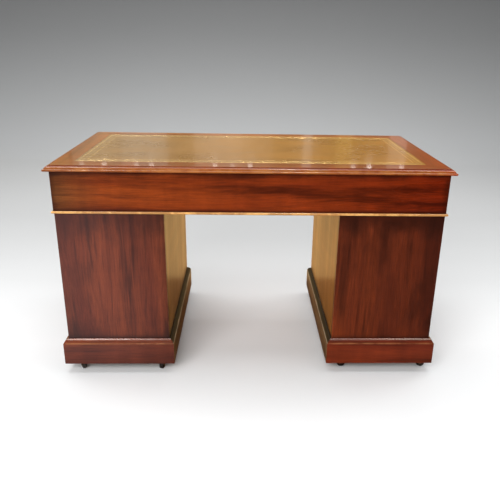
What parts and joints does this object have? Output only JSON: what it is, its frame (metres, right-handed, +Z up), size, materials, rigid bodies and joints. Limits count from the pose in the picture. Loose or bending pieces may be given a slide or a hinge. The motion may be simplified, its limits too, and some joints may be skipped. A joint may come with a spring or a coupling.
{
  "type": "pedestal writing desk",
  "caption": "Pedestal writing desk with a kneehole, an inlaid leather top, turned-knob drawers in the frieze and pedestals, moulded plinths and swivel castors.",
  "frame": {"origin": "centre of the bounding box's bottom face, on the floor under the castors", "axes": "+X along the desk to its right as seen from the plain back, +Y from the plain back towards the drawer side, +Z up"},
  "size_m": [1.372, 0.734, 0.78],
  "materials": {
    "polished_mahogany": "French polished, red-brown mahogany with dark streaks",
    "kneehole_mahogany": "polished, golden brown",
    "carcase_pine": "unpolished",
    "drawer_oak": "unpolished",
    "leather": "glossy golden-tan hide, tooled gilt line",
    "castor_brass": "dark aged",
    "castor_iron": "blackened"
  },
  "bodies": {
    "desk": {"frieze_back": "polished_mahogany", "frieze_bead": "polished_mahogany", "frieze_divider_left": "carcase_pine", "frieze_divider_right": "carcase_pine", "frieze_floor": "polished_mahogany", "frieze_side_left": "polished_mahogany", "frieze_side_right": "polished_mahogany", "left_back": "polished_mahogany", "left_bottom_board": "carcase_pine", "left_inner_side": "kneehole_mahogany", "left_lower_rail": "polished_mahogany", "left_outer_side": "polished_mahogany", "left_plinth": "polished_mahogany", "left_top_board": "carcase_pine", "left_upper_rail": "polished_mahogany", "right_back": "polished_mahogany", "right_bottom_board": "carcase_pine", "right_inner_side": "kneehole_mahogany", "right_lower_rail": "polished_mahogany", "right_outer_side": "polished_mahogany", "right_plinth": "polished_mahogany", "right_top_board": "carcase_pine", "right_upper_rail": "polished_mahogany", "top_border": "polished_mahogany", "top_core_panel": "carcase_pine", "top_leather": "leather"},
    "frieze_left_drawer": {"frieze_left_drawer_front": "polished_mahogany", "frieze_left_drawer_box": "drawer_oak"},
    "frieze_centre_drawer": {"frieze_centre_drawer_front": "polished_mahogany", "frieze_centre_drawer_box": "drawer_oak"},
    "frieze_right_drawer": {"frieze_right_drawer_front": "polished_mahogany", "frieze_right_drawer_box": "drawer_oak"},
    "left_upper_drawer": {"left_upper_drawer_front": "polished_mahogany", "left_upper_drawer_box": "drawer_oak"},
    "left_middle_drawer": {"left_middle_drawer_front": "polished_mahogany", "left_middle_drawer_box": "drawer_oak"},
    "left_lower_drawer": {"left_lower_drawer_front": "polished_mahogany", "left_lower_drawer_box": "drawer_oak"},
    "right_upper_drawer": {"right_upper_drawer_front": "polished_mahogany", "right_upper_drawer_box": "drawer_oak"},
    "right_middle_drawer": {"right_middle_drawer_front": "polished_mahogany", "right_middle_drawer_box": "drawer_oak"},
    "right_lower_drawer": {"right_lower_drawer_front": "polished_mahogany", "right_lower_drawer_box": "drawer_oak"},
    "left_back_outer_castor": {"left_back_outer_castor_horn": "castor_brass"},
    "left_back_outer_wheel": {"left_back_outer_castor_wheel": "castor_iron"},
    "left_back_inner_castor": {"left_back_inner_castor_horn": "castor_brass"},
    "left_back_inner_wheel": {"left_back_inner_castor_wheel": "castor_iron"},
    "left_front_outer_castor": {"left_front_outer_castor_horn": "castor_brass"},
    "left_front_outer_wheel": {"left_front_outer_castor_wheel": "castor_iron"},
    "left_front_inner_castor": {"left_front_inner_castor_horn": "castor_brass"},
    "left_front_inner_wheel": {"left_front_inner_castor_wheel": "castor_iron"},
    "right_back_outer_castor": {"right_back_outer_castor_horn": "castor_brass"},
    "right_back_outer_wheel": {"right_back_outer_castor_wheel": "castor_iron"},
    "right_back_inner_castor": {"right_back_inner_castor_horn": "castor_brass"},
    "right_back_inner_wheel": {"right_back_inner_castor_wheel": "castor_iron"},
    "right_front_outer_castor": {"right_front_outer_castor_horn": "castor_brass"},
    "right_front_outer_wheel": {"right_front_outer_castor_wheel": "castor_iron"},
    "right_front_inner_castor": {"right_front_inner_castor_horn": "castor_brass"},
    "right_front_inner_wheel": {"right_front_inner_castor_wheel": "castor_iron"}
  },
  "joints": [
    {"name": "frieze_left_drawer_slide", "type": "slide", "parent": "desk", "child": "frieze_left_drawer", "axis": [0, 1, 0], "range_m": [0, 0.46]},
    {"name": "frieze_centre_drawer_slide", "type": "slide", "parent": "desk", "child": "frieze_centre_drawer", "axis": [0, 1, 0], "range_m": [0, 0.46]},
    {"name": "frieze_right_drawer_slide", "type": "slide", "parent": "desk", "child": "frieze_right_drawer", "axis": [0, 1, 0], "range_m": [0, 0.46]},
    {"name": "left_upper_drawer_slide", "type": "slide", "parent": "desk", "child": "left_upper_drawer", "axis": [0, 1, 0], "range_m": [0, 0.46]},
    {"name": "left_middle_drawer_slide", "type": "slide", "parent": "desk", "child": "left_middle_drawer", "axis": [0, 1, 0], "range_m": [0, 0.46]},
    {"name": "left_lower_drawer_slide", "type": "slide", "parent": "desk", "child": "left_lower_drawer", "axis": [0, 1, 0], "range_m": [0, 0.46]},
    {"name": "right_upper_drawer_slide", "type": "slide", "parent": "desk", "child": "right_upper_drawer", "axis": [0, 1, 0], "range_m": [0, 0.46]},
    {"name": "right_middle_drawer_slide", "type": "slide", "parent": "desk", "child": "right_middle_drawer", "axis": [0, 1, 0], "range_m": [0, 0.46]},
    {"name": "right_lower_drawer_slide", "type": "slide", "parent": "desk", "child": "right_lower_drawer", "axis": [0, 1, 0], "range_m": [0, 0.46]},
    {"name": "left_back_outer_swivel", "type": "hinge", "parent": "desk", "child": "left_back_outer_castor", "pos_m": [-0.638, -0.309, 0.054], "axis": [0, 0, 1], "continuous": true},
    {"name": "left_back_outer_roll", "type": "hinge", "parent": "left_back_outer_castor", "child": "left_back_outer_wheel", "pos_m": [-0.628, -0.32632, 0.016], "axis": [0.866, 0.5, 0], "continuous": true},
    {"name": "left_back_inner_swivel", "type": "hinge", "parent": "desk", "child": "left_back_inner_castor", "pos_m": [-0.329, -0.309, 0.054], "axis": [0, 0, 1], "continuous": true},
    {"name": "left_back_inner_roll", "type": "hinge", "parent": "left_back_inner_castor", "child": "left_back_inner_wheel", "pos_m": [-0.33418, -0.32832, 0.016], "axis": [0.9659, -0.2588, 0], "continuous": true},
    {"name": "left_front_outer_swivel", "type": "hinge", "parent": "desk", "child": "left_front_outer_castor", "pos_m": [-0.638, 0.3, 0.054], "axis": [0, 0, 1], "continuous": true},
    {"name": "left_front_outer_roll", "type": "hinge", "parent": "left_front_outer_castor", "child": "left_front_outer_wheel", "pos_m": [-0.65086, 0.28468, 0.016], "axis": [0.766, -0.6428, 0], "continuous": true},
    {"name": "left_front_inner_swivel", "type": "hinge", "parent": "desk", "child": "left_front_inner_castor", "pos_m": [-0.329, 0.3, 0.054], "axis": [0, 0, 1], "continuous": true},
    {"name": "left_front_inner_roll", "type": "hinge", "parent": "left_front_inner_castor", "child": "left_front_inner_wheel", "pos_m": [-0.32382, 0.28068, 0.016], "axis": [0.9659, 0.2588, 0], "continuous": true},
    {"name": "right_back_outer_swivel", "type": "hinge", "parent": "desk", "child": "right_back_outer_castor", "pos_m": [0.638, -0.309, 0.054], "axis": [0, 0, 1], "continuous": true},
    {"name": "right_back_outer_roll", "type": "hinge", "parent": "right_back_outer_castor", "child": "right_back_outer_wheel", "pos_m": [0.65654, -0.31649, 0.016], "axis": [0.3746, 0.9272, 0], "continuous": true},
    {"name": "right_back_inner_swivel", "type": "hinge", "parent": "desk", "child": "right_back_inner_castor", "pos_m": [0.329, -0.309, 0.054], "axis": [0, 0, 1], "continuous": true},
    {"name": "right_back_inner_roll", "type": "hinge", "parent": "right_back_inner_castor", "child": "right_back_inner_wheel", "pos_m": [0.34779, -0.31584, 0.016], "axis": [0.342, 0.9397, 0], "continuous": true},
    {"name": "right_front_outer_swivel", "type": "hinge", "parent": "desk", "child": "right_front_outer_castor", "pos_m": [0.638, 0.3, 0.054], "axis": [0, 0, 1], "continuous": true},
    {"name": "right_front_outer_roll", "type": "hinge", "parent": "right_front_outer_castor", "child": "right_front_outer_wheel", "pos_m": [0.65332, 0.28714, 0.016], "axis": [0.6428, 0.766, 0], "continuous": true},
    {"name": "right_front_inner_swivel", "type": "hinge", "parent": "desk", "child": "right_front_inner_castor", "pos_m": [0.329, 0.3, 0.054], "axis": [0, 0, 1], "continuous": true},
    {"name": "right_front_inner_roll", "type": "hinge", "parent": "right_front_inner_castor", "child": "right_front_inner_wheel", "pos_m": [0.34892, 0.29826, 0.016], "axis": [0.0872, 0.9962, 0], "continuous": true}
  ]
}
